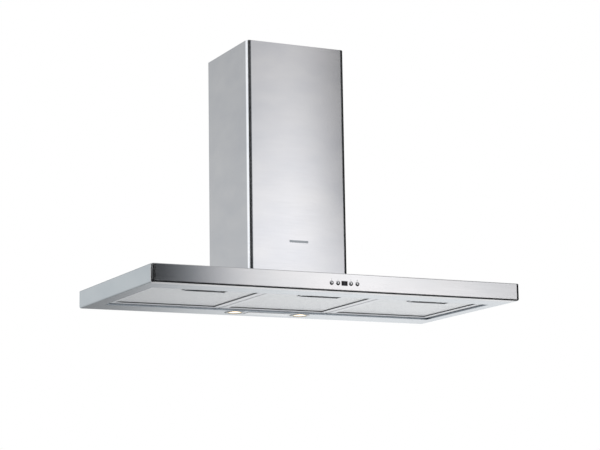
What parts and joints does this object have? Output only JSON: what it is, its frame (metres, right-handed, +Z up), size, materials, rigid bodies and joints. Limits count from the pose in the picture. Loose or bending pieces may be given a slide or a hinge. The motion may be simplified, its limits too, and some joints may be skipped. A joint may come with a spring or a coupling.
{
  "type": "range hood",
  "caption": "Wall-side kitchen range hood: slim wide canopy with drop-down grease filters, lamps and push buttons under a tall telescoping duct chimney.",
  "frame": {"origin": "centre of the four wall fixing holes, in the wall plane", "axes": "+X to the right seen from the front, +Y into the wall, +Z up"},
  "size_m": [1.2, 0.603, 0.8165],
  "materials": {
    "steel_skin": "satin brushed",
    "underside_steel": "fine satin",
    "filter_aluminium": "satin",
    "latch_plastic": "matt",
    "spring_steel": "bright",
    "button_chrome": "polished",
    "display_dark": "gloss",
    "display_block": "matt",
    "black_moulding": "matt",
    "board_green": "solder mask",
    "bezel_metal": "satin",
    "lens_glass": "clear",
    "bulb_glass": "clear",
    "lamp_can": "bright",
    "transformer_resin": "matt",
    "galvanised": "zinc coated",
    "scroll_plastic": "matt",
    "flap_plastic": "matt",
    "motor_metal": "cast",
    "bright_steel": "bright",
    "capacitor_can": "gloss",
    "nylon": "natural",
    "lead_sheath": "matt"
  },
  "bodies": {
    "hood": {"canopy_shell": "steel_skin", "front_fascia": "steel_skin", "chimney_lower": "steel_skin", "underside_frame": "underside_steel", "lamp_cover_plate": "underside_steel", "display_window": "display_dark", "display_module": "display_block", "control_housing": "black_moulding", "power_box": "black_moulding", "power_box_lid": "black_moulding", "mains_gland": "black_moulding", "gland_nut": "black_moulding", "control_board": "board_green", "power_board": "board_green", "lamp_bezel_left": "bezel_metal", "lamp_bezel_right": "bezel_metal", "lamp_lens_left": "lens_glass", "lamp_lens_right": "lens_glass", "lamp_bulb_left": "bulb_glass", "lamp_bulb_right": "bulb_glass", "lamp_housing_left": "lamp_can", "lamp_housing_right": "lamp_can", "lamp_transformer": "transformer_resin", "blower_box": "galvanised", "wall_plate": "galvanised", "motor_bracket": "galvanised", "scroll_left": "scroll_plastic", "scroll_right": "scroll_plastic", "duct_collar": "scroll_plastic", "motor_can": "motor_metal", "flap_pin": "bright_steel", "blower_screws": "bright_steel", "capacitor": "capacitor_can", "chimney_pads": "nylon", "wiring_loom": "lead_sheath"},
    "filter_left": {"filter_frame_left": "filter_aluminium", "filter_mesh_left": "filter_aluminium", "latch_cup_left": "underside_steel", "latch_springs_left": "spring_steel"},
    "latch_left": {"latch_slider_left": "latch_plastic"},
    "filter_middle": {"filter_frame_middle": "filter_aluminium", "filter_mesh_middle": "filter_aluminium", "latch_cup_middle": "underside_steel", "latch_springs_middle": "spring_steel"},
    "latch_middle": {"latch_slider_middle": "latch_plastic"},
    "filter_right": {"filter_frame_right": "filter_aluminium", "filter_mesh_right": "filter_aluminium", "latch_cup_right": "underside_steel", "latch_springs_right": "spring_steel"},
    "latch_right": {"latch_slider_right": "latch_plastic"},
    "button_light": {"button_light": "button_chrome"},
    "button_less": {"button_less": "button_chrome"},
    "button_more": {"button_more": "button_chrome"},
    "button_timer": {"button_timer": "button_chrome"},
    "fan": {"impeller": "scroll_plastic", "motor_shaft": "bright_steel"},
    "flap_front": {"flap_front": "flap_plastic"},
    "flap_rear": {"flap_rear": "flap_plastic"},
    "upper_section": {"chimney_upper": "steel_skin", "upper_bracket": "galvanised"}
  },
  "joints": [
    {"name": "filter_left_hinge", "type": "hinge", "parent": "hood", "child": "filter_left", "pos_m": [-0.37, -0.1025, -0.1855], "axis": [1, 0, 0], "range_deg": [0, 50]},
    {"name": "latch_left_slide", "type": "slide", "parent": "filter_left", "child": "latch_left", "axis": [0, 1, 0], "range_m": [0, 0.005], "stiffness_N_per_m": 200, "springref_m": -0.003, "deforming": ["latch_springs_left"]},
    {"name": "filter_middle_hinge", "type": "hinge", "parent": "hood", "child": "filter_middle", "pos_m": [0, -0.1025, -0.1855], "axis": [1, 0, 0], "range_deg": [0, 50]},
    {"name": "latch_middle_slide", "type": "slide", "parent": "filter_middle", "child": "latch_middle", "axis": [0, 1, 0], "range_m": [0, 0.005], "stiffness_N_per_m": 200, "springref_m": -0.003, "deforming": ["latch_springs_middle"]},
    {"name": "filter_right_hinge", "type": "hinge", "parent": "hood", "child": "filter_right", "pos_m": [0.37, -0.1025, -0.1855], "axis": [1, 0, 0], "range_deg": [0, 50]},
    {"name": "latch_right_slide", "type": "slide", "parent": "filter_right", "child": "latch_right", "axis": [0, 1, 0], "range_m": [0, 0.005], "stiffness_N_per_m": 200, "springref_m": -0.003, "deforming": ["latch_springs_right"]},
    {"name": "button_light_press", "type": "slide", "parent": "hood", "child": "button_light", "axis": [0, 1, 0], "range_m": [0, 0.0015], "stiffness_N_per_m": 800, "springref_m": -0.0008},
    {"name": "button_less_press", "type": "slide", "parent": "hood", "child": "button_less", "axis": [0, 1, 0], "range_m": [0, 0.0015], "stiffness_N_per_m": 800, "springref_m": -0.0008},
    {"name": "button_more_press", "type": "slide", "parent": "hood", "child": "button_more", "axis": [0, 1, 0], "range_m": [0, 0.0015], "stiffness_N_per_m": 800, "springref_m": -0.0008},
    {"name": "button_timer_press", "type": "slide", "parent": "hood", "child": "button_timer", "axis": [0, 1, 0], "range_m": [0, 0.0015], "stiffness_N_per_m": 800, "springref_m": -0.0008},
    {"name": "fan_spin", "type": "hinge", "parent": "hood", "child": "fan", "pos_m": [0, -0.115, -0.025], "axis": [1, 0, 0], "continuous": true},
    {"name": "flap_front_hinge", "type": "hinge", "parent": "hood", "child": "flap_front", "pos_m": [0, -0.165, 0.125], "axis": [-1, 0, 0], "range_deg": [0, 75]},
    {"name": "flap_rear_hinge", "type": "hinge", "parent": "hood", "child": "flap_rear", "pos_m": [0, -0.165, 0.125], "axis": [1, 0, 0], "range_deg": [0, 75]},
    {"name": "upper_section_slide", "type": "slide", "parent": "hood", "child": "upper_section", "axis": [0, 0, 1], "range_m": [0, 0.38]}
  ]
}
